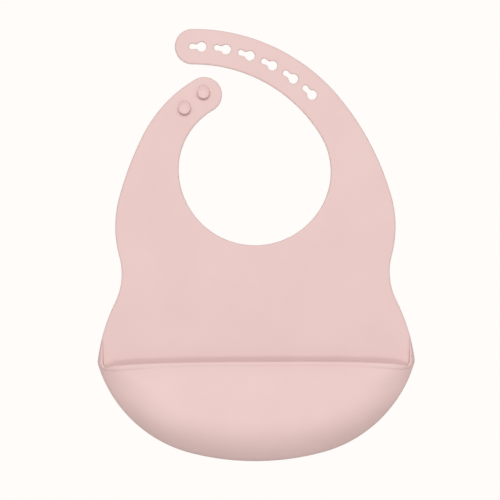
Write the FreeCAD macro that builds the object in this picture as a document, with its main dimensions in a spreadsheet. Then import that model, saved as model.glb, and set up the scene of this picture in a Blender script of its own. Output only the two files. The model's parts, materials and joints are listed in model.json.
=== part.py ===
import FreeCAD, Part
import math
import os
import Sketcher

# A moulded silicone bib: a flat sheet with a neck opening, a keyhole strap on the right, a stud strap
# on the left and a catch pocket along the bottom.  Every flexing zone is its own solid, with a fine gap
# at each bend line.  Millimetres; the origin is the centre of the neck opening in the sheet's back face;
# +X is to the right of the bib seen from its front, +Y points to the wearer and +Z points up.

os.makedirs("parts", exist_ok=True)
doc = FreeCAD.newDocument("silicone_bib")
Vector = FreeCAD.Vector

# ------------------------------------------------------------------ driving dimensions

SIZES = {
    # the sheet, the centre of its neck opening and the depth of its lowest point below that
    "sheet_thick": 2.0, "neck_centre_x": 0.0, "neck_centre_z": 0.0, "bottom_drop": 212.1,
    # radii of the outline, from the bottom of the pocket anticlockwise round the bib
    "bottom_radius": 188.6, "side_radius": 95.2, "corner_radius": 5.0, "flank_radius": 134.0,
    "waist_radius": 47.0, "chest_radius": 80.6, "shoulder_radius": 195.6, "strap_radius": 137.5,
    "strap_tip_radius": 12.86, "strap_inner_radius": 107.85, "collar_radius": 50.8,
    "neck_radius": 55.34, "tab_inner_radius": 49.6, "tab_tip_radius": 12.97,
    "tab_outer_radius": 98.8, "tab_root_radius": 240.0,
    # angle that the outline turns through on each of those arcs
    "bottom_turn": 29.24, "side_turn": 58.7, "corner_turn": 23.88, "flank_turn": 19.15,
    "waist_turn": 41.55, "chest_turn": 30.62, "shoulder_turn": 23.75, "strap_turn": 50.84,
    "strap_tip_turn": 180.0, "strap_inner_turn": 58.74, "collar_turn": 60.0, "neck_turn": 146.23,
    "tab_inner_turn": 65.49, "tab_tip_turn": 180.78, "tab_outer_turn": 32.71,
    "tab_root_turn": 11.54,
    # keyholes: they lie on a circle about the strap's centre, the first one at the tip
    "strap_centre_x": -43.0, "strap_centre_z": -30.0, "hole_circle": 118.6, "hole_count": 6,
    "first_hole_angle": 87.7, "hole_pitch": 8.64, "hole_length_angle": 3.3,
    "hole_big_radius": 3.5, "hole_small_radius": 2.1, "hole_slot_width": 3.4,
    # bend lines of the keyhole strap, from the tip down to the shoulder
    "strap_bends": 9, "first_bend_angle": 76.0, "bend_gap_angle": 0.3,
    # bend lines of the stud strap, as angles about the neck centre
    "tab_bend_tip": 131.5, "tab_bend_middle": 148.0, "tab_bend_upper": 160.0,
    "tab_bend_root": 172.0, "tab_gap_angle": 0.55, "tab_end": 112.0, "tab_span": 75.0,
    # mushroom studs
    "stud_neck_radius": 1.9, "stud_neck_length": 2.2, "stud_head_radius": 4.5,
    "stud_head_thick": 1.8, "upper_stud_x": -37.0, "upper_stud_z": 55.0,
    "lower_stud_x": -50.8, "lower_stud_z": 43.8,
    # bend lines across the waist
    "waist_bend_top": -66.0, "waist_bend_bottom": -98.0, "waist_gap": 1.2,
    # catch pocket
    "lip_drop": 139.0, "lip_arch_radius": 1900.0, "pocket_wall": 1.8, "pocket_depth": 18.0,
    "lip_depth": 7.5, "belly_drop": 184.0, "front_inset": 20.0, "seam_inset": 0.4, "gusset_width": 16.0,
    "pocket_gap": 0.8, "lip_height": 3.2, "lip_swell": 0.7,
}

sheet = doc.addObject("Spreadsheet::Sheet", "bib_sizes")
for row, (alias, value) in enumerate(SIZES.items(), start=1):
    sheet.set(f"A{row}", alias)
    sheet.set(f"B{row}", str(value))
    sheet.setAlias(f"B{row}", alias)
doc.recompute()


def size(alias):
    return float(sheet.get(alias))


def bind(thing, prop, formula):
    """Tie a property to the spreadsheet; $ in the formula stands for the spreadsheet's name."""
    thing.setExpression(prop, formula.replace("$", "bib_sizes."))


REACH = 320.0       # larger than the bib, for tools that only have to pass it
MARGIN = 30.0       # how far a cutting tool stands in front of and behind the sheet


def origin_plane(body, role):
    return next(item for item in body.Origin.OriginFeatures if item.Role == role)


def new_body(name):
    body = doc.addObject("PartDesign::Body", name)
    body.Label = name
    return body


def new_sketch(body, name, role):
    sketch = body.newObject("Sketcher::SketchObject", name)
    sketch.AttachmentSupport = [(origin_plane(body, role), "")]
    sketch.MapMode = "FlatFace"
    return sketch


def join_ends(sketch):
    """Close a loop of edges by making each edge's end coincide with the start of the next."""
    count = sketch.GeometryCount
    for edge in range(count):
        following = (edge + 1) % count
        pairs = [(sketch.getPoint(edge, one).distanceToPoint(sketch.getPoint(following, two)), one, two)
                 for one in (1, 2) for two in (1, 2)]
        _, one, two = min(pairs)
        sketch.addConstraint(Sketcher.Constraint("Coincident", edge, one, following, two))


def new_pad(body, sketch, name, thickness):
    pad = body.newObject("PartDesign::Pad", name)
    pad.Profile = sketch
    bind(pad, "Length", thickness)
    return pad


# ------------------------------------------------------------------ outline of the whole sheet

# name of each arc and the side to which it turns: +1 left, -1 right
OUTLINE = [
    ("side", 1), ("corner", 1), ("flank", 1), ("waist", -1), ("chest", 1), ("shoulder", 1),
    ("strap", 1), ("strap_tip", 1), ("strap_inner", -1), ("collar", -1), ("neck", -1),
    ("tab_inner", -1), ("tab_tip", 1), ("tab_outer", 1), ("tab_root", 1), ("chest", 1),
    ("waist", -1), ("flank", 1), ("corner", 1), ("side", 1), ("bottom", 1),
]


def draw_outline(sketch):
    """Walk round the bib in tangent arcs and tie each arc's radius to the sheet."""
    half_bottom = math.radians(size("bottom_turn") / 2)
    point = Vector(size("bottom_radius") * math.sin(half_bottom),
                   size("bottom_radius") * (1 - math.cos(half_bottom)) - size("bottom_drop"), 0)
    heading = half_bottom
    ends = []
    for name, side in OUTLINE:
        radius = size(name + "_radius")
        turn = math.radians(size(name + "_turn"))
        centre = point + Vector(-math.sin(heading), math.cos(heading), 0) * (side * radius)
        start = heading - side * math.pi / 2
        finish = start + side * turn
        circle = Part.Circle(centre, Vector(0, 0, 1), radius)
        arc = sketch.addGeometry(Part.ArcOfCircle(circle, min(start, finish), max(start, finish)))
        ends.append((arc, 1, 2) if side > 0 else (arc, 2, 1))
        point = centre + Vector(math.cos(finish), math.sin(finish), 0) * radius
        heading += side * turn
    for index, (arc, _, last) in enumerate(ends):
        following, first, _ = ends[(index + 1) % len(ends)]
        sketch.addConstraint(Sketcher.Constraint("Tangent", arc, last, following, first))
    for arc, (name, _) in enumerate(OUTLINE):
        row = sketch.addConstraint(Sketcher.Constraint("Radius", arc, size(name + "_radius")))
        bind(sketch, f"Constraints[{row}]", f"${name}_radius")
    neck = OUTLINE.index(("neck", -1))
    bottom = OUTLINE.index(("bottom", 1))
    sketch.addConstraint(Sketcher.Constraint("Coincident", neck, 3, -1, 1))
    sketch.addConstraint(Sketcher.Constraint("PointOnObject", bottom, 3, -2))


def draw_keyhole(sketch):
    """The keyhole at the strap's tip, about the strap's centre: two round eyes and a slot."""
    half_slot = size("hole_slot_width") / 2
    eyes = []
    for radius, angle, opens in (
            (size("hole_big_radius"), size("first_hole_angle"), 1),
            (size("hole_small_radius"), size("first_hole_angle") + size("hole_length_angle"), -1)):
        place = math.radians(angle)
        centre = Vector(math.cos(place), math.sin(place), 0) * size("hole_circle")
        eyes.append((centre, radius, opens))
    along = (eyes[1][0] - eyes[0][0]).normalize()
    across = Vector(-along.y, along.x, 0)
    corners = []
    for centre, radius, opens in eyes:
        mouth = along * (opens * math.sqrt(radius ** 2 - half_slot ** 2))
        upper = centre + mouth + across * half_slot
        lower = centre + mouth - across * half_slot
        sketch.addGeometry(Part.Arc(upper, centre - along * (opens * radius), lower))
        corners.append((upper, lower))
    for upper, lower in zip(corners[0], corners[1]):
        sketch.addGeometry(Part.LineSegment(upper, lower))


def make_sheet():
    """The flat sheet with its row of keyholes, before it is divided at the bend lines."""
    body = new_body("sheet_blank")
    outline = new_sketch(body, "sheet_outline", "XZ_Plane")
    draw_outline(outline)
    pad = new_pad(body, outline, "sheet_pad", "$sheet_thick")
    doc.recompute()
    keyhole = new_sketch(body, "keyhole_outline", "XZ_Plane")
    bind(keyhole, "AttachmentOffset.Base.x", "$strap_centre_x")
    bind(keyhole, "AttachmentOffset.Base.y", "$strap_centre_z")
    draw_keyhole(keyhole)
    cut = body.newObject("PartDesign::Pocket", "keyhole_cut")
    cut.Profile = keyhole
    cut.Midplane = True
    bind(cut, "Length", "4 * $sheet_thick")
    doc.recompute()
    row = body.newObject("PartDesign::PolarPattern", "keyhole_row")
    row.Originals = [cut]
    row.Axis = (keyhole, ["N_Axis"])
    row.Reversed = True
    bind(row, "Occurrences", "$hole_count")
    bind(row, "Angle", "($hole_count - 1) * $hole_pitch")
    body.Tip = row
    doc.recompute()
    one_hole = pad.Shape.Volume - cut.Shape.Volume
    all_holes = pad.Shape.Volume - row.Shape.Volume
    assert one_hole > 0, "the keyhole cuts nothing"
    assert abs(all_holes - size("hole_count") * one_hole) < 1, "a keyhole of the row is missing"
    return body


# ------------------------------------------------------------------ tools that divide the sheet

FACING = FreeCAD.Rotation(Vector(1, 0, 0), 90)      # turns local z to -Y and local y to +Z


def make_box(name, low, high):
    """A box over the whole depth between two heights; low and high are formulas."""
    box = doc.addObject("Part::Box", name)
    box.Width = 2 * MARGIN
    box.Length = REACH
    box.Placement.Base = Vector(-REACH / 2, -MARGIN, 0)
    bind(box, "Placement.Base.z", low)
    bind(box, "Height", f"({high}) - ({low})")
    return box


def make_sector(name, centre, inner, outer, start, span):
    """A ring sector about a line along Y; centre is two formulas and start an angle from +X."""
    sectors = []
    for part, radius in (("outer", outer), ("inner", inner)):
        pie = doc.addObject("Part::Cylinder", f"{name}_{part}")
        pie.Radius = radius
        pie.Height = 2 * MARGIN
        bind(pie, "Angle", span)
        turned = FACING.multiply(FreeCAD.Rotation(Vector(0, 0, 1), start))
        pie.Placement = FreeCAD.Placement(Vector(0, MARGIN, 0), turned)
        bind(pie, "Placement.Base.x", centre[0])
        bind(pie, "Placement.Base.z", centre[1])
        sectors.append(pie)
    return cut_from(name, sectors[0], sectors[1])


def cut_from(name, base, tool):
    result = doc.addObject("Part::Cut", name)
    result.Base = base
    result.Tool = tool
    return result


def common_of(name, base, tool):
    result = doc.addObject("Part::Common", name)
    result.Base = base
    result.Tool = tool
    return result


NODES = []


def keep(thing, node):
    """Name a finished solid as a sub-part."""
    thing.Label = node
    NODES.append(thing)
    return thing


# ------------------------------------------------------------------ keyhole strap and stud strap

STRAP_CENTRE = ("$strap_centre_x", "$strap_centre_z")
NECK_CENTRE = ("$neck_centre_x", "$neck_centre_z")
TIP_INNER = 98.0        # clears the stud strap's tip and still reaches the strap's inner edge
LINK_INNER = 90.0       # lies inside the neck opening beside every other link
TAB_INNER = 40.0        # lies inside the neck opening beside the stud strap
TAB_TIP_OUTER = 79.0    # passes the stud strap's tip and stays inside the keyhole strap
TIP_SPAN = 54.0         # from the last bend line to well past the strap's tip


def make_hole_strap(blank):
    """Links of the keyhole strap, numbered from the shoulder to the tip."""
    count = int(size("strap_bends"))
    for link in range(1, count + 1):
        bend_angle = size("first_bend_angle") - size("hole_pitch") * (count - link)
        start = bend_angle + size("bend_gap_angle") / 2
        if link == count:
            inner, span = TIP_INNER, f"{TIP_SPAN} - $bend_gap_angle"
        else:
            inner, span = LINK_INNER, "$hole_pitch - $bend_gap_angle"
        tool = make_sector(f"strap_zone_{link}", STRAP_CENTRE, inner, REACH / 2, start, span)
        keep(common_of(f"strap_link_{link}_solid", blank, tool), f"hole_strap_link_{link}")


def make_stud_strap(blank):
    """Links of the stud strap, numbered from the shoulder to the tip."""
    bends = ["tab_bend_root", "tab_bend_upper", "tab_bend_middle", "tab_bend_tip", "tab_end"]
    half_gap = size("tab_gap_angle") / 2
    for link, (root, tip) in enumerate(zip(bends, bends[1:]), start=1):
        outer = TAB_TIP_OUTER if tip == "tab_end" else REACH / 2
        tool = make_sector(f"tab_zone_{link}", NECK_CENTRE, TAB_INNER, outer, size(tip) + half_gap,
                           f"${root} - ${tip} - $tab_gap_angle")
        keep(common_of(f"tab_link_{link}_solid", blank, tool), f"stud_strap_link_{link}")


def make_stud(node, across, up):
    """A mushroom stud that stands on the front face: a short neck and a round-edged head."""
    body = new_body(node + "_body")
    sketch = new_sketch(body, node + "_profile", "XY_Plane")
    neck = size("stud_neck_radius")
    head = size("stud_head_radius")
    rim = size("stud_head_thick") / 2
    foot = -size("sheet_thick")
    under = foot - size("stud_neck_length")
    crown = under - 2 * rim
    corners = [(0, crown), (0, foot), (neck, foot), (neck, under), (head - rim, under)]
    for (x1, y1), (x2, y2) in zip(corners, corners[1:]):
        sketch.addGeometry(Part.LineSegment(Vector(x1, y1, 0), Vector(x2, y2, 0)))
    sketch.addGeometry(Part.Arc(Vector(head - rim, under, 0), Vector(head, under - rim, 0),
                                Vector(head - rim, crown, 0)))
    sketch.addGeometry(Part.LineSegment(Vector(head - rim, crown, 0), Vector(0, crown, 0)))
    spin = body.newObject("PartDesign::Revolution", node + "_turned")
    spin.Profile = sketch
    spin.ReferenceAxis = (sketch, ["V_Axis"])
    spin.Angle = 360
    bind(body, "Placement.Base.x", across)
    bind(body, "Placement.Base.z", up)
    keep(body, node)


# ------------------------------------------------------------------ catch pocket

def half_moon(sketch, inset, lift, inset_formula):
    """The pocket seen from the front, moved in by inset: the lip's arch, two sides and the base."""
    half_bottom = math.radians(size("bottom_turn") / 2)
    down_right = Vector(math.sin(half_bottom), -math.cos(half_bottom), 0)
    base_centre = Vector(0, size("bottom_radius") - size("bottom_drop"), 0)
    side_centre = base_centre + down_right * (size("bottom_radius") - size("side_radius"))
    base = size("bottom_radius") - inset
    side = size("side_radius") - inset
    arch = size("lip_arch_radius")
    top = Vector(0, lift - size("lip_drop"), 0)
    # the right-hand corner is where the side's circle crosses the lip's
    between = top - Vector(0, arch, 0) - side_centre
    along = (side ** 2 - arch ** 2 + between.Length ** 2) / (2 * between.Length)
    aside = math.sqrt(side ** 2 - along ** 2)
    unit = between * (1 / between.Length)
    corner = side_centre + unit * along + Vector(-unit.y, unit.x, 0) * aside
    joint = base_centre + down_right * base
    low = base_centre - Vector(0, base, 0)
    bulge = side_centre + ((corner + joint) * 0.5 - side_centre).normalize() * side

    def mirrored(point):
        return Vector(-point.x, point.y, 0)

    arcs = [(mirrored(corner), top, corner), (corner, bulge, joint), (joint, low, mirrored(joint)),
            (mirrored(joint), mirrored(bulge), mirrored(corner))]
    for arc in arcs:
        sketch.addGeometry(Part.Arc(*arc))
    join_ends(sketch)
    radii = ["$lip_arch_radius", f"$side_radius - ({inset_formula})",
             f"$bottom_radius - ({inset_formula})", f"$side_radius - ({inset_formula})"]
    for arc, formula in enumerate(radii):
        row = sketch.addConstraint(Sketcher.Constraint("Radius", arc, sketch.Geometry[arc].Radius))
        bind(sketch, f"Constraints[{row}]", formula)


LOFT_STEPS = (0, 30, 60, 90)    # degrees round the quarter ellipse from the seam to the front
LIP_OVERCUT = 4.0               # how far the hollow runs out past the lip
LEAN_TOP = 120.0                # depth below the origin at which the leaning tools end


def loft_sections(body, name, wall, lift):
    """Half-moons that shrink towards the front along a quarter ellipse."""
    sections = []
    for step in LOFT_STEPS:
        rise = math.sin(math.radians(step))
        draw_in = 1 - math.cos(math.radians(step))
        inset = size("seam_inset") + wall + (size("front_inset") - size("seam_inset")) * draw_in
        formula = f"$seam_inset + {wall} + ($front_inset - $seam_inset) * {draw_in:.6f}"
        sketch = new_sketch(body, f"{name}_{step}", "XZ_Plane")
        half_moon(sketch, inset, lift, formula)
        bind(sketch, "AttachmentOffset.Base.z",
             f"$sheet_thick + ($pocket_depth - {wall}) * {rise:.6f}")
        sections.append(sketch)
    return sections


def make_bowl(name, wall, lift):
    """The pocket's filled-in shape; wall moves its whole surface inwards."""
    body = new_body(name)
    sections = loft_sections(body, name + "_section", wall, lift)
    loft = body.newObject("PartDesign::AdditiveLoft", name + "_loft")
    loft.Profile = sections[0]
    loft.Sections = sections[1:]
    loft.Ruled = True
    return body


def make_lean(name, wall):
    """A prism whose front leans back from the belly to the lip."""
    body = new_body(name)
    sketch = new_sketch(body, name + "_profile", "YZ_Plane")
    belly = -size("sheet_thick") - size("pocket_depth") + wall
    lip = -size("sheet_thick") - size("lip_depth") + wall
    past_lip = (size("belly_drop") - LEAN_TOP) / (size("belly_drop") - size("lip_drop"))
    corners = [Vector(MARGIN, -REACH, 0), Vector(belly, -REACH, 0),
               Vector(belly, -size("belly_drop"), 0),
               Vector(belly + (lip - belly) * past_lip, -LEAN_TOP, 0),
               Vector(MARGIN, -LEAN_TOP, 0)]
    for first, second in zip(corners, corners[1:] + corners[:1]):
        sketch.addGeometry(Part.LineSegment(first, second))
    join_ends(sketch)
    pad = new_pad(body, sketch, name + "_pad", "4 * $side_radius")
    pad.Midplane = True
    return body


def make_pocket_shell(name, swell):
    """The pocket's moulded wall, thickened outwards by swell."""
    outside = common_of(name + "_outside", make_bowl(name + "_bowl", -swell, 0),
                        make_lean(name + "_lean", -swell))
    wall = size("pocket_wall")
    inside = common_of(name + "_inside", make_bowl(name + "_hollow", wall, LIP_OVERCUT),
                       make_lean(name + "_hollow_lean", wall))
    return cut_from(name, outside, inside)


def make_pocket_zone(name, inset, lift):
    """A half-moon slab that runs through the whole pocket from back to front."""
    body = new_body(name)
    sketch = new_sketch(body, name + "_outline", "XZ_Plane")
    half_moon(sketch, size("gusset_width") + inset, lift, f"$gusset_width + {inset}")
    pad = new_pad(body, sketch, name + "_pad", "3 * ($sheet_thick + $pocket_depth)")
    pad.Midplane = True
    return body


def make_pocket():
    """The band of wall along the seam, the front that swings open and the thick lip along its top."""
    shell = make_pocket_shell("pocket_shell", 0.0)
    swollen = make_pocket_shell("lip_shell", size("lip_swell"))
    half_gap = size("pocket_gap") / 2
    inner_zone = make_pocket_zone("front_zone", half_gap, LIP_OVERCUT)
    below_lip = make_pocket_zone("below_lip_zone", half_gap, -size("lip_height"))
    outer_zone = make_pocket_zone("gusset_zone", -half_gap, LIP_OVERCUT)
    keep(cut_from("gusset_solid", shell, outer_zone), "pocket_gusset")
    keep(common_of("front_solid", shell, below_lip), "pocket_front")
    lip_band = common_of("lip_band", swollen, inner_zone)
    keep(cut_from("lip_solid", lip_band, below_lip), "pocket_lip")


# ------------------------------------------------------------------ the panel's three zones

def make_panel(blank):
    """The chest, the waist and the lower panel, divided by two bend lines across the waist."""
    chest = make_box("chest_zone", "$waist_bend_top + $waist_gap / 2", f"{REACH}")
    waist = make_box("waist_zone", "$waist_bend_bottom + $waist_gap / 2",
                     "$waist_bend_top - $waist_gap / 2")
    low = make_box("low_zone", f"-{REACH}", "$waist_bend_bottom - $waist_gap / 2")
    first_bend = (size("first_bend_angle") - size("hole_pitch") * (size("strap_bends") - 1)
                  - size("bend_gap_angle") / 2)
    right = make_sector("whole_strap_zone", STRAP_CENTRE, LINK_INNER, REACH / 2, first_bend,
                        "$first_bend_angle + $hole_pitch")
    left_start = size("tab_bend_root") - size("tab_span") + size("tab_gap_angle") / 2
    left = make_sector("whole_tab_zone", NECK_CENTRE, TAB_INNER, REACH / 2, left_start, "$tab_span")
    without_right = cut_from("panel_without_strap", common_of("chest_sheet", blank, chest), right)
    keep(cut_from("upper_panel_solid", without_right, left), "upper_panel")
    keep(common_of("waist_panel_solid", blank, waist), "waist_panel")
    keep(common_of("lower_panel_solid", blank, low), "lower_panel")


# ------------------------------------------------------------------ build, check and write

blank_sheet = make_sheet()
make_panel(blank_sheet)
make_pocket()
make_hole_strap(blank_sheet)
make_stud_strap(blank_sheet)
make_stud("upper_stud", "$upper_stud_x", "$upper_stud_z")
make_stud("lower_stud", "$lower_stud_x", "$lower_stud_z")
doc.recompute()

for thing in doc.Objects:
    assert "Invalid" not in thing.State and "Error" not in thing.State, f"{thing.Name} failed"
for solid in NODES:
    shape = solid.Shape
    assert not shape.isNull() and shape.isValid(), f"{solid.Label} is not a sound solid"
    assert len(shape.Solids) == 1, f"{solid.Label} is in {len(shape.Solids)} pieces"
    print(f"{solid.Label:18} {shape.Volume:9.1f} mm3")
    shape.exportStep(f"parts/{solid.Label}.step")
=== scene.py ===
import json
import math

import bmesh
import bpy
import numpy as np
from mathutils import Matrix, Vector
from mathutils.geometry import delaunay_2d_cdt


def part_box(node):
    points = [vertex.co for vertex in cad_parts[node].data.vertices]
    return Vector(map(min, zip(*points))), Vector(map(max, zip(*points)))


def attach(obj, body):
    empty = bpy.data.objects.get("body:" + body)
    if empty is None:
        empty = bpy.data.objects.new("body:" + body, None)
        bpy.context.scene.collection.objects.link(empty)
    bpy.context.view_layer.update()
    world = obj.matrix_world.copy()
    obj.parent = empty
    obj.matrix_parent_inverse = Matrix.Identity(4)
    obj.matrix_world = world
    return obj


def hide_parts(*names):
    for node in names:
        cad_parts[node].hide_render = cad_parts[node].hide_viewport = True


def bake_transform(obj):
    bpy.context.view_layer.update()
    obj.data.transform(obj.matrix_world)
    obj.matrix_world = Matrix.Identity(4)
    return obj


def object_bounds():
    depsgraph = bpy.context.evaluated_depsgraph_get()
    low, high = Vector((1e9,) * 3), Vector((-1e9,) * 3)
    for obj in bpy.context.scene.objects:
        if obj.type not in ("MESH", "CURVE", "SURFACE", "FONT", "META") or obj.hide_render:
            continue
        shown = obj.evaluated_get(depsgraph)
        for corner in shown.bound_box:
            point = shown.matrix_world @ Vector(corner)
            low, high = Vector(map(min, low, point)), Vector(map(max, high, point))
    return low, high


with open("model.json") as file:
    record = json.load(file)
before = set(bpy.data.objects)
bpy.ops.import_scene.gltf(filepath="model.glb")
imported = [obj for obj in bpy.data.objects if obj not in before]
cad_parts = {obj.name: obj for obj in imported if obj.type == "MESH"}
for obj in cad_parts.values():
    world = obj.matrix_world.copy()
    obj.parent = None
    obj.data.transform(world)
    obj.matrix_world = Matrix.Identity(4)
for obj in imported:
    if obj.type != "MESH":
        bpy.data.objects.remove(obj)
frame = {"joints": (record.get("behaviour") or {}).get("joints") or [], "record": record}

# A moulded silicone bib.  The soft skin is drawn over the CAD zones as one sheet, with rounded edges,
# and is then divided into pieces along the lines between neighbouring bodies.  Metres; the sheet lies in
# the
# XZ plane, its front faces -Y and its outline is walked in the plane's own (x, z) coordinates.

cad_low, cad_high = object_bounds()
MM = 0.001


# ------------------------------------------------------------------ places taken from the frame

sheet_low, sheet_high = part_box("upper_panel")
FRONT = sheet_low.y
BACK = sheet_high.y
MID = (FRONT + BACK) / 2
EDGE = (BACK - FRONT) / 2                   # half the sheet's thickness; its edge is rounded to the full
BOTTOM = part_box("lower_panel")[0].z
joints = {joint["name"]: joint for joint in frame["joints"]}
openings = {item["name"]: item["box_m"] for item in frame["record"]["physics"]["openings"]}


def flat(point):
    """A point or direction of the frame in the sheet's own (x, z) coordinates."""
    return np.array([point[0], point[2]], float)


def crossing(first, second):
    """Where two bend lines meet, each given by a joint's place and axis."""
    a, u = flat(first["pos_m"]), flat(first["axis"])
    b, v = flat(second["pos_m"]), flat(second["axis"])
    along = np.linalg.solve(np.column_stack([u, -v]), b - a)[0]
    return a + along * u


HOLE_LINKS = sum(name.startswith("hole_strap_bend") for name in joints)
STUD_LINKS = sum(name.startswith("stud_strap_bend") for name in joints)
STRAP_CENTRE = crossing(joints["hole_strap_bend_1"], joints[f"hole_strap_bend_{HOLE_LINKS}"])
NECK_CENTRE = np.zeros(2)


# ------------------------------------------------------------------ outlines as chains of arcs

# radius in mm and turn in degrees, from the right end of the pocket's base, anticlockwise; a turn is
# positive to the left
RIGHT_FLANK = [(95.2, 58.7), (5.0, 23.88), (134.0, 19.15), (47.0, -41.55), (80.6, 30.62)]
HOLE_STRAP = [(195.6, 23.75), (137.5, 50.84), (12.86, 180.0), (107.85, -58.74), (50.8, -60.0)]
NECK = [(55.34, -146.23)]
STUD_STRAP = [(49.6, -65.49), (12.97, 180.78), (98.8, 32.71), (240.0, 11.54)]
LEFT_FLANK = RIGHT_FLANK[::-1]
BASE = [(188.6, 29.24)]
OUTLINE = RIGHT_FLANK + HOLE_STRAP + NECK + STUD_STRAP + LEFT_FLANK + BASE

EYE_RADIUS = 3.5 * MM           # a keyhole's large eye
SMALL_EYE_RADIUS = 2.1 * MM     # the round end of its slot
SLOT_HALF_WIDTH = 1.7 * MM
SLOT_LENGTH = 6.8 * MM          # between the centres of the two eyes
EYE_FILLET = 1.0 * MM           # between either eye and the slot
KEYHOLE_SPACING = 0.45 * MM     # between the points of its outline

LARGEST_TURN = math.radians(9)  # between neighbouring points of an arc


def walk(start, heading, arcs, spacing):
    """Points along a chain of tangent arcs; a radius of 0 stands for a straight run of that length."""
    points = [np.array(start, float)]
    for radius, turn in arcs:
        if radius == 0:
            ahead = np.array([math.cos(heading), math.sin(heading)])
            points.append(points[-1] + ahead * turn)
            continue
        side = math.copysign(1, turn)
        sweep = math.radians(abs(turn))
        centre = points[-1] + side * radius * np.array([-math.sin(heading), math.cos(heading)])
        steps = max(2, math.ceil(radius * sweep / spacing), math.ceil(sweep / LARGEST_TURN))
        first = heading - side * math.pi / 2
        for step in range(1, steps + 1):
            angle = first + side * sweep * step / steps
            points.append(centre + radius * np.array([math.cos(angle), math.sin(angle)]))
        heading += side * sweep
    return np.array(points)


def closed(points):
    """Spread a chain's small closing error along it and drop its repeated last point."""
    share = np.linspace(0, 1, len(points))[:, None]
    return (points + share * (points[0] - points[-1]))[:-1]


def bib_outline(spacing):
    """The bib's whole outline, anticlockwise from the right end of the pocket's base."""
    radius, turn = BASE[0]
    half = math.radians(turn / 2)
    start = (radius * MM * math.sin(half), BOTTOM + radius * MM * (1 - math.cos(half)))
    arcs = [(radius * MM, turn) for radius, turn in OUTLINE]
    return closed(walk(start, half, arcs, spacing))


def fillet_to_slot(eye_radius):
    """How far along the slot an eye's fillet ends, and the fillet's turn in degrees."""
    reach = eye_radius + EYE_FILLET
    along = math.sqrt(reach ** 2 - (SLOT_HALF_WIDTH + EYE_FILLET) ** 2)
    return along, math.degrees(math.acos((SLOT_HALF_WIDTH + EYE_FILLET) / reach))


def keyhole_outline(eye):
    """A large eye, centred on eye, and a small one towards the strap's tip, joined by a slot."""
    big_along, big_turn = fillet_to_slot(EYE_RADIUS)
    small_along, small_turn = fillet_to_slot(SMALL_EYE_RADIUS)
    straight = (0, SLOT_LENGTH - big_along - small_along)
    big_fillet, small_fillet = (EYE_FILLET, -big_turn), (EYE_FILLET, -small_turn)
    arcs = [straight, big_fillet, (EYE_RADIUS, 180 + 2 * big_turn), big_fillet,
            straight, small_fillet, (SMALL_EYE_RADIUS, 180 + 2 * small_turn), small_fillet]
    start = (SLOT_LENGTH - small_along, SLOT_HALF_WIDTH)
    points = closed(walk(start, math.pi, arcs, KEYHOLE_SPACING))
    out = eye - STRAP_CENTRE
    along = np.array([-out[1], out[0]]) / np.linalg.norm(out)
    across = np.array([-along[1], along[0]])
    return eye + points[:, :1] * along + points[:, 1:] * across


# ------------------------------------------------------------------ the sheet's skin as one mesh

EDGE_STEPS = 10                 # strips round the sheet's edge
RIM_REACH = 1.6 * MM            # how far in from the outline the edge's rounding begins
HOLE_REACH = 0.9 * MM           # the same at a keyhole
OUTLINE_SPACING = 2.0 * MM
GRID_SPACING = 4.0 * MM
GRID_CLEARANCE = 1.8 * MM
TINY = 1e-12                    # stands for a height of nothing, which can't be divided by
SAME_POINT = 1e-9               # points closer than this are one
WHOLE_HULL = 0                  # the triangulation covers the hull, and is thinned afterwards

CHEST_FOOT = -125 * MM          # height at which the sheet's slight waves begin, and how far up they go
CHEST_HEIGHT = 145 * MM
WAVE_DEPTH = 0.16 * MM
# a wave's length across and along the bib, and its shift in whole waves
BROAD_WAVE = (150 * MM, 260 * MM, 0.10)
LOW_WAVE = (-300 * MM, 120 * MM, 0.35)


def outward(loop):
    """Unit vectors in the plane that point out of the material, for a loop with it on its left."""
    ahead = np.roll(loop, -1, axis=0) - np.roll(loop, 1, axis=0)
    ahead /= np.linalg.norm(ahead, axis=1)[:, None]
    return np.column_stack([ahead[:, 1], -ahead[:, 0]])


def inside(points, loop):
    """True for each point that lies within a closed loop."""
    x, z = points[:, :1], points[:, 1:]
    ax, az = loop.T
    bx, bz = np.roll(loop, -1, axis=0).T
    spans = (az > z) != (bz > z)
    reach = ax + (z - az) * (bx - ax) / np.where(bz == az, TINY, bz - az)
    return ((x < reach) & spans).sum(axis=1) % 2 == 1


def in_material(points, loops):
    """True for each point that lies within the first loop, the rim, and in none of the others."""
    kept = inside(points, loops[0])
    for hole in loops[1:]:
        kept &= ~inside(points, hole)
    return kept


def fill_points(loops):
    """A grid over the sheet that keeps off its edges."""
    low, high = loops[0].min(axis=0), loops[0].max(axis=0)
    xs, zs = (np.arange(low[axis], high[axis], GRID_SPACING) for axis in (0, 1))
    grid = np.array([(x + (row % 2) * GRID_SPACING / 2, z) for row, z in enumerate(zs) for x in xs])
    grid = grid[in_material(grid, loops)]
    border = np.vstack(loops)
    gap = np.array([np.hypot(*(border - point).T).min() for point in grid])
    return grid[gap > GRID_CLEARANCE]


def wave(x, z, values):
    length_across, length_along, shift = values
    return math.sin(2 * math.pi * (x / length_across + z / length_along + shift))


def unevenness(x, z):
    """The soft sheet's slight waves over the chest; they die out towards the straps and the pocket."""
    share = min(1, max(0, (z - CHEST_FOOT) / CHEST_HEIGHT))
    chest = max(0, math.sin(math.pi * share)) ** 0.5
    return WAVE_DEPTH * chest * (wave(x, z, BROAD_WAVE) + wave(x, z, LOW_WAVE))


def keyhole_loops():
    """Every keyhole's outline, clockwise, so that the material is on its left."""
    loops = []
    for name, (low, high) in openings.items():
        if name.startswith("keyhole"):
            loops.append(keyhole_outline((flat(low) + flat(high)) / 2)[::-1])
    return loops


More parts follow.
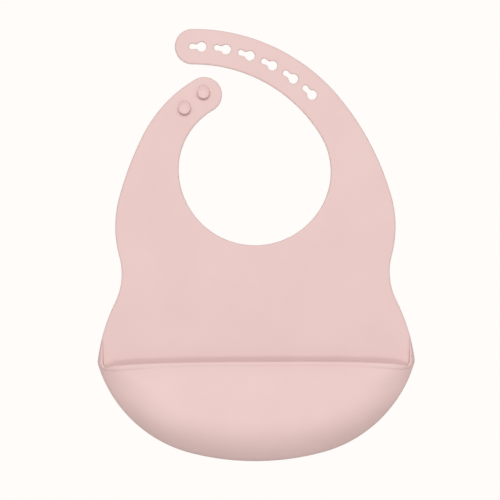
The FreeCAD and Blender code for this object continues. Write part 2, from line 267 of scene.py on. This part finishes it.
def triangulate(loops):
    """Points and triangles of the flat part within the loops, and where each loop's points went."""
    points = np.vstack(loops + [fill_points(loops)])
    constraints = []
    first = 0
    for loop in loops:
        count = len(loop)
        constraints += [(first + i, first + (i + 1) % count) for i in range(count)]
        first += count
    verts, _, faces, origins, _, _ = delaunay_2d_cdt(
        [Vector(point) for point in points], constraints, [], WHOLE_HULL, SAME_POINT)
    flat_points = np.array([tuple(vert) for vert in verts])
    triangles = np.array(faces)
    triangles = triangles[in_material(flat_points[triangles].mean(axis=1), loops)]
    place = {source: index for index, sources in enumerate(origins) for source in sources}
    return flat_points, triangles, place


def round_edge(bm, loop, normal, reach, front, back):
    """Strips round the sheet's edge, from a loop of the front face's vertices to one of the back's."""
    ring = front
    for step in range(1, EDGE_STEPS + 1):
        angle = math.pi * step / EDGE_STEPS - math.pi / 2
        if step == EDGE_STEPS:
            following = back
        else:
            shifted = loop + normal * reach * math.cos(angle)
            y = MID + EDGE * math.sin(angle)
            following = [bm.verts.new((x, y, z)) for x, z in shifted]
        for i in range(len(loop)):
            j = (i + 1) % len(loop)
            bm.faces.new((ring[j], ring[i], following[i], following[j]))
        ring = following


def sheet_skin():
    """The whole flat sheet: two faces and a round edge along its outline and every keyhole."""
    edges = [bib_outline(OUTLINE_SPACING)] + keyhole_loops()
    reaches = [RIM_REACH] + [HOLE_REACH] * (len(edges) - 1)
    normals = [outward(loop) for loop in edges]
    inner = [loop - normal * reach for loop, normal, reach in zip(edges, normals, reaches)]
    flat_points, triangles, place = triangulate(inner)

    bm = bmesh.new()
    front = [bm.verts.new((x, FRONT, z)) for x, z in flat_points]
    back = [bm.verts.new((x, BACK, z)) for x, z in flat_points]
    for a, b, c in triangles:
        bm.faces.new((front[a], front[b], front[c]))
        bm.faces.new((back[c], back[b], back[a]))
    flat_faces = len(bm.faces)
    first = 0
    for loop, normal, reach in zip(inner, normals, reaches):
        indices = [place[first + i] for i in range(len(loop))]
        first += len(loop)
        round_edge(bm, loop, normal, reach, [front[i] for i in indices], [back[i] for i in indices])
    for vert in bm.verts:
        vert.co.y += unevenness(vert.co.x, vert.co.z)
    level = bm.faces.layers.int.new("level")
    for index, face in enumerate(bm.faces):
        face[level] = index < flat_faces
        face.smooth = True
    return bm


# ------------------------------------------------------------------ how the skin is divided

LINK_INNER = 90 * MM            # inside the neck opening beside the keyhole strap's links
TIP_INNER = 98 * MM             # between the two straps, from the strap's centre
TAB_INNER = 40 * MM             # inside the neck opening beside the stud strap
TAB_OUTER = 79 * MM             # between the two straps, from the neck's centre
TAB_END = math.radians(112)     # past the stud strap's tip
BORDER_MARGIN = math.radians(3) # how far a strap's zone reaches past its first border
ON_PLANE = 1e-7                 # vertices this close to a cut are taken to lie on it


def polar(point, centre):
    """Radius and angle of a spot about a centre."""
    offset = point - centre
    return np.hypot(*offset), math.atan2(offset[1], offset[0])


def bend_angles(kind, count, centre):
    """Angle of each bend line of a strap about its centre, from the shoulder to the tip."""
    return [polar(flat(joints[f"{kind}_bend_{link}"]["pos_m"]), centre)[1]
            for link in range(1, count + 1)]


hole_bends = bend_angles("hole_strap", HOLE_LINKS, STRAP_CENTRE)
stud_bends = bend_angles("stud_strap", STUD_LINKS, NECK_CENTRE)


def borders(bends):
    """Angles between the bend lines, and one before the first."""
    between = [(a + b) / 2 for a, b in zip(bends, bends[1:])]
    return [bends[0] - (between[0] - bends[0])] + between


hole_borders = borders(hole_bends)
stud_borders = borders(stud_bends)
waist_border = (joints["waist_bend_upper"]["pos_m"][2] + joints["waist_bend_lower"]["pos_m"][2]) / 2


def on_hole_strap(point):
    radius, angle = polar(point, STRAP_CENTRE)
    if angle > hole_bends[-1]:
        return radius > TIP_INNER
    return radius > LINK_INNER and angle > hole_borders[0] - BORDER_MARGIN


def on_stud_strap(point):
    radius, angle = polar(point, NECK_CENTRE)
    if not TAB_END < angle < stud_borders[0] + BORDER_MARGIN:
        return False
    return radius > TAB_INNER and (angle > stud_bends[-1] or radius < TAB_OUTER)


def piece_of(point):
    """Name of the piece that a spot of the sheet belongs to."""
    if on_stud_strap(point):
        angle = polar(point, NECK_CENTRE)[1]
        link = sum(angle < border for border in stud_borders)
        return f"stud_strap_{link}" if link else "chest"
    if on_hole_strap(point):
        angle = polar(point, STRAP_CENTRE)[1]
        link = sum(angle > border for border in hole_borders)
        return f"hole_strap_{link}" if link else "chest"
    return "chest" if point[1] > waist_border else "lower_sheet"


def cut(bm, spot, normal, belongs):
    """Cut the part of the mesh where belongs is true along a plane that stands on the sheet."""
    faces = [face for face in bm.faces if belongs(flat(face.calc_center_median()))]
    edges = {edge for face in faces for edge in face.edges}
    verts = {vert for face in faces for vert in face.verts}
    bmesh.ops.bisect_plane(bm, geom=[*verts, *edges, *faces], dist=ON_PLANE,
                           plane_co=(spot[0], 0, spot[1]), plane_no=(normal[0], 0, normal[1]))


def divide(bm):
    """Cut the sheet between neighbouring bend lines."""
    for angle in hole_borders:
        cut(bm, STRAP_CENTRE, (-math.sin(angle), math.cos(angle)), on_hole_strap)
    for angle in stud_borders:
        cut(bm, NECK_CENTRE, (-math.sin(angle), math.cos(angle)), on_stud_strap)
    cut(bm, (0, waist_border), (0, 1), lambda point: point[1] < 0)


# ------------------------------------------------------------------ catch pocket

POCKET_WALL = 1.8 * MM
LIP_STAND = 8.4 * MM            # how far the lip's outside stands off the middle of the sheet
BELLY_STAND = 18.5 * MM         # the same at the pocket's deepest
BELLY_DROP = 52 * MM            # from the lip down to the deepest place
ROUNDING = 32 * MM              # width over which the wall curves back to the seam
LIP_ROUNDING = 18 * MM          # the same at the lip, and how far below it that widens
WIDENING = 22 * MM
FULLNESS = 2.4                  # 1 would be a straight slope
SEAM_OUTSET = 0.04 * MM         # keeps the wall just outside the sheet's own edge
SEAM_ARCS = 3                   # arcs of the right flank that the pocket and its wing lie against
FAR = 1.0

LIP_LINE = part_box("pocket_lip")[1].z - 1.4 * MM     # below the lip's round top
LIP_DROOP = 2.9 * MM            # the lip is nearly straight and droops towards its ends
LIP_REACH = 108 * MM            # where the droop has that value
LIP_BEAD = 0.22 * MM            # how much the lip is thicker than the wall
LIP_HEIGHT = 1.8 * MM           # how far down the lip is thick
CORNER_BEAD = 0.35 * MM         # what both gain towards the lip's ends, and where, out from the middle
CORNER_BEAD_START, CORNER_BEAD_RUN = 70 * MM, 25 * MM
CORNER_HEIGHT = 1.0 * MM
CORNER_HEIGHT_START, CORNER_HEIGHT_RUN = 50 * MM, 55 * MM

WING_WIDTH = 3.2 * MM           # the wall runs on up the sheet's side as a narrow wing
WING_RISE = 24 * MM
WING_TAPER = 0.8                # 1 would be a straight edge
WING_TIP = 0.4 * MM             # the wing stops this short of its full rise
WING_FILLET = 1.3 * MM

# where the wall is narrow from lip to seam, as on the wing, the lip gets smaller with it
FULL_LIP_LENGTH = 7 * MM        # the wall's length that has the lip's full height
FULL_WALL_LENGTH = 2.5 * MM     # and the one that has the wall's full thickness
BEAD_START, BEAD_RUN = 1 * MM, 5 * MM               # lengths over which the thickening comes in
BEAD_FADE_START, BEAD_FADE_RUN = 0.7, 0.6           # and fades downwards, in lip heights

SEAM_SPOTS = np.linspace(0.1, 0.2, 2001)            # along the seam, round about the lip's end
LIP_COLUMNS = 89                # of the wall's mesh, from the lip's middle to its end
WING_COLUMNS = 48
CROWDING = 0.4                  # how much closer the columns lie towards the lip's end
LIP_ROWS = (0, 0.3, 0.55, 0.7, 0.8, 0.9, 1.0, 1.1, 1.2, 1.3, 1.5)   # in lip heights
WALL_ROWS = 43
TOP_ANGLES = np.radians([22, 45, 68, 90, 112, 135, 158])            # round the lip's top
PROBE = 0.02 * MM               # step over which the wall's slope is measured


def right_walls():
    """Centre, radius and last heading of each arc from the middle of the base up the right flank."""
    radius, heading = BASE[0][0] * MM, math.radians(BASE[0][1] / 2)
    centre = np.array([0, BOTTOM + radius])
    walls = [(centre, radius, heading)]
    for next_radius, turn in RIGHT_FLANK[:SEAM_ARCS]:
        outward_turn = np.array([math.sin(heading), -math.cos(heading)])
        centre = centre + (radius - next_radius * MM) * outward_turn
        radius = next_radius * MM
        heading += math.radians(turn)
        walls.append((centre, radius, heading))
    return walls


WALLS = right_walls()


def seam_distance(x, z):
    """How far inside the outline a spot by the pocket lies."""
    x = np.abs(x)
    distance = np.full(np.shape(x), FAR)
    first = -math.pi
    for centre, radius, last in WALLS:
        heading = np.arctan2(x - centre[0], centre[1] - z)
        from_arc = radius - np.hypot(x - centre[0], z - centre[1])
        faces = (heading >= first) & (heading <= last)
        distance = np.where(faces, np.minimum(distance, from_arc), distance)
        first = last
    return distance


def seam_point(run):
    """A spot on the right-hand outline, run metres from the middle of the base."""
    first = 0
    for centre, radius, last in WALLS:
        heading = first + run / radius
        if heading <= last or radius == WALLS[-1][1]:
            break
        run -= radius * (last - first)
        first = last
    return centre + (radius + SEAM_OUTSET) * np.array([math.sin(heading), -math.cos(heading)])


def ramp(value, start, run):
    """0 up to start, 1 from a run later, and smooth between them."""
    share = np.clip((value - start) / run, 0, 1)
    return share * share * (3 - 2 * share)


def pocket_stand(x, z):
    """How far the pocket's outside stands forward of the middle of the sheet."""
    distance = seam_distance(x, z)
    edge = EDGE * np.sqrt(1 - (1 - np.clip(distance / RIM_REACH, 0, 1)) ** 2)
    rounding = LIP_ROUNDING + (ROUNDING - LIP_ROUNDING) * ramp(LIP_LINE - z, 0, WIDENING)
    share = np.clip(distance / rounding, 0, 1)
    depth = LIP_STAND + (BELLY_STAND - LIP_STAND) * ramp(LIP_LINE - z, 0, BELLY_DROP)
    return edge + (depth - EDGE) * (1 - (1 - share) ** FULLNESS)


def lip_height(x):
    return LIP_LINE - LIP_DROOP * (x / LIP_REACH) ** 4


def wing_width(rise):
    """Width of the wing at a height above the lip's end, with a fillet where it leaves the lip."""
    width = WING_WIDTH * max(0, 1 - rise / WING_RISE) ** WING_TAPER
    below = max(0, WING_FILLET - rise)
    return width + WING_FILLET - math.sqrt(WING_FILLET ** 2 - below ** 2)


def pocket_columns():
    """Lip point and seam point of each column, from the tip of the left wing to that of the right."""
    ends = [seam_point(run) for run in SEAM_SPOTS]
    corner = next(i for i, (x, z) in enumerate(ends) if z > lip_height(x - wing_width(0)))
    tip = next(i for i, (_, z) in enumerate(ends) if z > ends[corner][1] + WING_RISE - WING_TIP)
    lip_end = ends[corner][0] - wing_width(0)
    lip, seam = [], []
    for share in np.linspace(0, 1, LIP_COLUMNS + 1)[:-1]:
        x = lip_end * ((1 - CROWDING) * share + CROWDING * math.sin(share * math.pi / 2))
        lip.append((x, lip_height(x)))
        seam.append(seam_point(SEAM_SPOTS[corner] * share))
    for share in np.linspace(0, 1, WING_COLUMNS):
        run = SEAM_SPOTS[corner] + (SEAM_SPOTS[tip] - SEAM_SPOTS[corner]) * share ** 2
        end = seam_point(run)
        lip.append((end[0] - wing_width(end[1] - ends[corner][1]), end[1]))
        seam.append(end)
    lip, seam = np.array(lip), np.array(seam)
    mirror = np.array([-1, 1])
    return np.vstack([lip[:0:-1] * mirror, lip]), np.vstack([seam[:0:-1] * mirror, seam])


def pocket_normal(x, z):
    """Unit vectors that point out of the pocket's outside."""
    slope_x = (pocket_stand(x + PROBE, z) - pocket_stand(x - PROBE, z)) / (2 * PROBE)
    slope_z = (pocket_stand(x, z + PROBE) - pocket_stand(x, z - PROBE)) / (2 * PROBE)
    normal = np.column_stack([-slope_x, -np.ones_like(x), -slope_z])
    return normal / np.linalg.norm(normal, axis=1)[:, None]


def pocket_rows(lip, seam):
    """Rows of points down the wall from lip to seam, on its outside and on its inside."""
    length = np.linalg.norm(seam - lip, axis=1)
    down = (seam - lip) / length[:, None]
    out = np.abs(lip[:, 0])
    wall = POCKET_WALL * np.minimum(1, length / FULL_WALL_LENGTH)
    bead = LIP_BEAD + CORNER_BEAD * ramp(out, CORNER_BEAD_START, CORNER_BEAD_RUN)
    bead *= ramp(length, BEAD_START, BEAD_RUN)
    tall = LIP_HEIGHT + CORNER_HEIGHT * ramp(out, CORNER_HEIGHT_START, CORNER_HEIGHT_RUN)
    tall *= np.minimum(1, length / FULL_LIP_LENGTH)
    runs = [row * tall for row in LIP_ROWS]
    shares = np.sin(np.linspace(0, math.pi / 2, WALL_ROWS + 1)[1:])
    runs += [runs[-1] + share * (length - runs[-1]) for share in shares]
    outer, inner = [], []
    for run in runs:
        x, z = (lip + down * np.minimum(run, length - 3 * PROBE)[:, None]).T
        normal = pocket_normal(x, z)
        x, z = (lip + down * run[:, None]).T
        place = np.column_stack([x, MID - pocket_stand(x, z), z])
        swell = bead * (1 - ramp(run / tall, BEAD_FADE_START, BEAD_FADE_RUN))
        outer.append(place + normal * swell[:, None])
        inner.append(place - normal * wall[:, None])
    return outer, inner


def round_top(outer, inner):
    """Rows over the lip's top, from its outside to its inside."""
    half = (outer[0] - inner[0]) / 2
    middle = inner[0] + half
    thickness = np.linalg.norm(half, axis=1)[:, None]
    tangent = outer[0] - outer[2]
    tangent /= np.linalg.norm(tangent, axis=1)[:, None]
    return [middle + half * math.cos(angle) + tangent * thickness * math.sin(angle)
            for angle in TOP_ANGLES]


def pocket_skin():
    """The pocket's wall, with a thicker lip whose top is a full round."""
    outer, inner = pocket_rows(*pocket_columns())
    rows = outer[::-1] + round_top(outer, inner) + inner
    bm = bmesh.new()
    grid = [[bm.verts.new(tuple(place)) for place in row] for row in rows]
    for row, following in zip(grid, grid[1:]):
        for column in range(len(row) - 1):
            quad = (row[column], row[column + 1], following[column + 1], following[column])
            bm.faces.new(quad).smooth = True
    return bm


# ------------------------------------------------------------------ studs

STUD_NECK = 1.9 * MM            # radius
STUD_FOOT_FILLET = 0.7 * MM     # between the neck and the sheet
STUD_HEAD_FILLET = 0.5 * MM     # between the neck and the head
STUD_RIM = 0.9 * MM             # radius of the head's round edge
STUD_DISH = 0.5 * MM            # how far the head's top sinks in its middle
STUD_SIDES = 64


def stud_profile(height, radius):
    """Radius and height of a mushroom stud's outline, from its foot to the middle of its top."""
    under = height - 2 * STUD_RIM
    profile = []
    for angle in np.radians([0, 22, 45, 68, 90]):
        profile.append((STUD_NECK + STUD_FOOT_FILLET * (1 - math.sin(angle)),
                        STUD_FOOT_FILLET * (1 - math.cos(angle))))
    for angle in np.radians([0, 30, 60, 90]):
        profile.append((STUD_NECK + STUD_HEAD_FILLET * (1 - math.cos(angle)),
                        under - STUD_HEAD_FILLET + STUD_HEAD_FILLET * math.sin(angle)))
    for angle in np.radians([-90, -68, -45, -22, 0, 22, 45, 68, 90]):
        profile.append((radius - STUD_RIM + STUD_RIM * math.cos(angle),
                        height - STUD_RIM + STUD_RIM * math.sin(angle)))
    for share in (0.9, 0.8, 0.65, 0.45, 0.2):
        profile.append(((radius - STUD_RIM) * share, height - STUD_DISH * (1 - share ** 4)))
    return profile


def stud_skin(node):
    """A lathed stud on the front face, where the CAD's stands."""
    low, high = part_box(node)
    centre = (low + high) / 2
    profile = stud_profile(high.y - low.y, (high.x - low.x) / 2)
    bm = bmesh.new()
    rings = []
    for radius, height in profile:
        ring = []
        for step in range(STUD_SIDES):
            angle = 2 * math.pi * step / STUD_SIDES
            ring.append(bm.verts.new((centre.x + radius * math.cos(angle), FRONT - height,
                                      centre.z + radius * math.sin(angle))))
        rings.append(ring)
    for ring, following in zip(rings, rings[1:]):
        for i in range(STUD_SIDES):
            j = (i + 1) % STUD_SIDES
            bm.faces.new((ring[i], ring[j], following[j], following[i])).smooth = True
    top = bm.verts.new((centre.x, FRONT - profile[-1][1], centre.z))
    for i in range(STUD_SIDES):
        bm.faces.new((rings[-1][i], rings[-1][(i + 1) % STUD_SIDES], top)).smooth = True
    return bm


# ------------------------------------------------------------------ objects from meshes

def vertex_normals(bm):
    """Normals that keep the two flat faces flat and shade the round edge round."""
    level = bm.faces.layers.int.get("level")
    normals = {}
    for vert in bm.verts:
        flat_around = [face for face in vert.link_faces if level and face[level]]
        total = Vector()
        for loop in vert.link_loops:
            if not flat_around or loop.face in flat_around:
                total += loop.face.normal * loop.calc_angle()
        normals[vert] = total.normalized()
    return normals


def make_piece(name, faces, normals, material):
    """A mesh object of some of a mesh's faces, with the whole mesh's normals."""
    verts = sorted({vert for face in faces for vert in face.verts}, key=lambda vert: vert.index)
    place = {vert: index for index, vert in enumerate(verts)}
    mesh = bpy.data.meshes.new(name)
    mesh.from_pydata([vert.co for vert in verts], [],
                     [[place[vert] for vert in face.verts] for face in faces])
    mesh.polygons.foreach_set("use_smooth", [True] * len(mesh.polygons))
    mesh.normals_split_custom_set_from_vertices([normals[vert] for vert in verts])
    mesh.materials.append(material)
    obj = bpy.data.objects.new(name, mesh)
    bpy.context.scene.collection.objects.link(obj)
    return obj


def whole_piece(name, bm, material):
    """One object of a whole mesh, which is used up."""
    bm.normal_update()
    bm.verts.index_update()
    obj = make_piece(name, list(bm.faces), vertex_normals(bm), material)
    bm.free()
    return obj


# ------------------------------------------------------------------ silicone

DEEP_PINK = (0.741, 0.528, 0.508, 1)
PALE_PINK = (0.761, 0.549, 0.530, 1)
SHEEN_PINK = (1.0, 0.86, 0.84, 1)
SILICONE_IOR = 1.41
GLOSSIEST, MATTEST = 0.46, 0.60         # roughness
# scale per metre and detail of each noise
CLOUDING = (22, 3)
SMUDGES = (60, 4)
GRAIN = (1500, 2)
RIPPLE = (35, 1)
# strength and depth in metres of each bump
GRAIN_BUMP = (0.35, 0.000008)
RIPPLE_BUMP = (0.3, 0.0004)


def add_noise(nodes, links, coordinates, values):
    noise = nodes.new("ShaderNodeTexNoise")
    noise.inputs["Scale"].default_value, noise.inputs["Detail"].default_value = values
    links.new(coordinates.outputs["Object"], noise.inputs["Vector"])
    return noise.outputs["Fac"]


def add_bump(nodes, links, height, values):
    bump = nodes.new("ShaderNodeBump")
    bump.inputs["Strength"].default_value, bump.inputs["Distance"].default_value = values
    links.new(height, bump.inputs["Height"])
    return bump


def silicone():
    """Matt moulded silicone: an even pink with faint clouding and a fine satin grain."""
    material = bpy.data.materials.new("pink_silicone")
    material.use_nodes = True
    nodes, links = material.node_tree.nodes, material.node_tree.links
    shader = nodes["Principled BSDF"]
    coordinates = nodes.new("ShaderNodeTexCoord")

    tint = nodes.new("ShaderNodeValToRGB")
    deep, pale = tint.color_ramp.elements
    deep.position, deep.color = 0.3, DEEP_PINK
    pale.position, pale.color = 0.7, PALE_PINK
    links.new(add_noise(nodes, links, coordinates, CLOUDING), tint.inputs["Fac"])
    links.new(tint.outputs["Color"], shader.inputs["Base Color"])

    satin = nodes.new("ShaderNodeMapRange")
    satin.inputs["To Min"].default_value = GLOSSIEST
    satin.inputs["To Max"].default_value = MATTEST
    links.new(add_noise(nodes, links, coordinates, SMUDGES), satin.inputs["Value"])
    links.new(satin.outputs["Result"], shader.inputs["Roughness"])

    fine = add_bump(nodes, links, add_noise(nodes, links, coordinates, GRAIN), GRAIN_BUMP)
    broad = add_bump(nodes, links, add_noise(nodes, links, coordinates, RIPPLE), RIPPLE_BUMP)
    links.new(fine.outputs["Normal"], broad.inputs["Normal"])
    links.new(broad.outputs["Normal"], shader.inputs["Normal"])

    shader.inputs["IOR"].default_value = SILICONE_IOR
    shader.inputs["Sheen Weight"].default_value = 0.12
    shader.inputs["Sheen Roughness"].default_value = 0.5
    shader.inputs["Sheen Tint"].default_value = SHEEN_PINK
    return material


# ------------------------------------------------------------------ bib

WAIST_BEND = 13 * MM            # the span worked out to either side of each bend line
HOLE_STRAP_BEND = 8.6 * MM
STUD_STRAP_BEND = 6.0 * MM      # stops short of the studs' feet


def across_bend(joint, reach, tipward):
    """Start and end of a blend, reach to each side of a bend line, in the direction tipward."""
    place, axis = Vector(joint["pos_m"]), Vector(joint["axis"])
    along = Vector((axis.z, 0, -axis.x)).normalized()
    if along.dot(Vector((tipward[0], 0, tipward[1]))) < 0:
        along.negate()
    return place - along * reach, place + along * reach


def bend_piece(obj, name, reach, tipward):
    """Work out the span across the bend line of one joint, and bake the piece's placement into its mesh.
    """
    joint = joints[name]
    start, end = across_bend(joint, reach, tipward)
    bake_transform(obj)


def build_sheet(material):
    """The sheet in pieces, divided between neighbouring bend lines, in place of the CAD zones it covers.
    """
    bm = sheet_skin()
    divide(bm)
    bm.normal_update()
    bm.verts.index_update()
    normals = vertex_normals(bm)
    groups = {}
    for face in bm.faces:
        groups.setdefault(piece_of(flat(face.calc_center_median())), []).append(face)
    pieces = {name: make_piece(f"{name}_skin", faces, normals, material)
              for name, faces in groups.items()}
    bm.free()

    bend_piece(pieces["chest"], "waist_bend_upper", WAIST_BEND, (0, -1))
    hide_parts("upper_panel", "waist_panel")
    bend_piece(pieces["lower_sheet"], "waist_bend_lower", WAIST_BEND, (0, -1))
    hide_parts("lower_panel")
    for link, angle in enumerate(hole_bends, start=1):
        obj = pieces[f"hole_strap_{link}"]
        bend_piece(obj, f"hole_strap_bend_{link}", HOLE_STRAP_BEND, (-math.sin(angle), math.cos(angle)))
        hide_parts(f"hole_strap_link_{link}")
    for link, angle in enumerate(stud_bends, start=1):
        obj = pieces[f"stud_strap_{link}"]
        bend_piece(obj, f"stud_strap_bend_{link}", STUD_STRAP_BEND, (math.sin(angle), -math.cos(angle)))
        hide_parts(f"stud_strap_link_{link}")


def build_pocket(material):
    obj = whole_piece("pocket_skin", pocket_skin(), material)
    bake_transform(obj)
    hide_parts("pocket_gusset", "pocket_front", "pocket_lip")


def build_studs(material):
    for node, link in (("upper_stud", STUD_LINKS), ("lower_stud", STUD_LINKS - 1)):
        obj = whole_piece(f"{node}_skin", stud_skin(node), material)
        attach(obj, f"stud_strap_link_{link}")
        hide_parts(node)


# ------------------------------------------------------------------ studio

LIGHT_DISTANCE = 4.0
LIGHT_COLOUR = (1, 0.995, 0.985)
# name: azimuth and elevation in degrees as seen from the bib's front, width, height and power
SOFTBOXES = {
    "left_box": (-45, 5, 3.8, 3.1, 9.5),
    "right_box": (45, 5, 3.8, 3.1, 11.5),
    "key_box": (0, 20, 2.8, 1.4, 99),
    "low_box": (0, -27, 1.2, 0.7, 25),
    "overhead": (0, 85, 1.8, 1.8, 12.5),
    "back_left": (-150, -8, 3.5, 2.8, 78),
    "back_right": (150, -8, 3.5, 2.8, 78),
}

BACKDROP_COLOUR = (1.0, 0.973, 0.947, 1)
FILL_COLOUR = (1.0, 0.985, 0.975, 1)
FILL_STRENGTH = 0.29

FLOOR_COLOUR = (0.96, 0.945, 0.93, 1)
FLOOR_DROP = 0.95               # below the bib
FLOOR_RADIUS = 1.4
FLOOR_FADE = (0.1, 1.35)        # distances from its middle between which it fades out


def add_softbox(name, azimuth, elevation, width, height, power, target):
    light = bpy.data.lights.new(name, "AREA")
    light.shape = "RECTANGLE"
    light.size, light.size_y = width, height
    light.energy = power
    light.color = LIGHT_COLOUR
    turn, rise = math.radians(azimuth), math.radians(elevation)
    back = Vector((math.sin(turn) * math.cos(rise), -math.cos(turn) * math.cos(rise), math.sin(rise)))
    obj = bpy.data.objects.new(name, light)
    obj.location = target + back * LIGHT_DISTANCE
    obj.rotation_euler = back.to_track_quat("Z", "Y").to_euler()
    obj.visible_camera = False
    bpy.context.scene.collection.objects.link(obj)


def studio_world():
    """A warm white backdrop to the eye, and a much dimmer fill light to everything else."""
    world = bpy.data.worlds.new("studio_world")
    bpy.context.scene.world = world
    world.use_nodes = True
    nodes, links = world.node_tree.nodes, world.node_tree.links
    seen = nodes["Background"]
    seen.inputs["Color"].default_value = BACKDROP_COLOUR
    fill = nodes.new("ShaderNodeBackground")
    fill.inputs["Color"].default_value = FILL_COLOUR
    fill.inputs["Strength"].default_value = FILL_STRENGTH
    rays = nodes.new("ShaderNodeLightPath")
    choice = nodes.new("ShaderNodeMixShader")
    links.new(rays.outputs["Is Camera Ray"], choice.inputs["Fac"])
    links.new(fill.outputs["Background"], choice.inputs[1])
    links.new(seen.outputs["Background"], choice.inputs[2])
    links.new(choice.outputs["Shader"], nodes["World Output"].inputs["Surface"])


def pale_floor():
    """A plain round floor well below the bib that fades out towards its rim."""
    material = bpy.data.materials.new("pale_floor")
    material.use_nodes = True
    nodes, links = material.node_tree.nodes, material.node_tree.links
    paint = nodes["Principled BSDF"]
    paint.inputs["Base Color"].default_value = FLOOR_COLOUR
    paint.inputs["Roughness"].default_value = 0.85
    coordinates = nodes.new("ShaderNodeTexCoord")
    distance = nodes.new("ShaderNodeVectorMath")
    distance.operation = "LENGTH"
    fade = nodes.new("ShaderNodeMapRange")
    fade.interpolation_type = "SMOOTHSTEP"
    fade.inputs["From Min"].default_value, fade.inputs["From Max"].default_value = FLOOR_FADE
    fade.inputs["To Min"].default_value = 1
    fade.inputs["To Max"].default_value = 0
    links.new(coordinates.outputs["Object"], distance.inputs[0])
    links.new(distance.outputs["Value"], fade.inputs["Value"])
    links.new(fade.outputs["Result"], paint.inputs["Alpha"])

    mesh = bpy.data.meshes.new("floor")
    bm = bmesh.new()
    bmesh.ops.create_circle(bm, cap_ends=True, segments=96, radius=FLOOR_RADIUS)
    bm.to_mesh(mesh)
    bm.free()
    mesh.materials.append(material)
    floor = bpy.data.objects.new("floor", mesh)
    floor.location = (0, 0, BOTTOM - FLOOR_DROP)
    bpy.context.scene.collection.objects.link(floor)


def studio():
    bpy.context.scene.view_settings.view_transform = "Standard"
    studio_world()
    pale_floor()
    for name, values in SOFTBOXES.items():
        add_softbox(name, *values, (cad_low + cad_high) / 2)


VIEW_CENTRE = Vector((-0.0040, 0, -0.0590))
VIEW_HEIGHT = 0.3625
VIEW_DISTANCE = 1.15
VIEW_ROLL = math.radians(-0.35)
SENSOR_WIDTH = 36


def camera():
    data = bpy.data.cameras.new("camera")
    data.sensor_width = SENSOR_WIDTH
    data.lens = SENSOR_WIDTH * VIEW_DISTANCE / VIEW_HEIGHT
    obj = bpy.data.objects.new("camera", data)
    obj.location = VIEW_CENTRE + Vector((0, MID - VIEW_DISTANCE, 0))
    facing = Matrix.Rotation(math.radians(90), 4, "X") @ Matrix.Rotation(VIEW_ROLL, 4, "Z")
    obj.rotation_euler = facing.to_euler()
    bpy.context.scene.collection.objects.link(obj)
    bpy.context.scene.camera = obj


camera()
studio()
pink = silicone()
build_sheet(pink)
build_pocket(pink)
build_studs(pink)
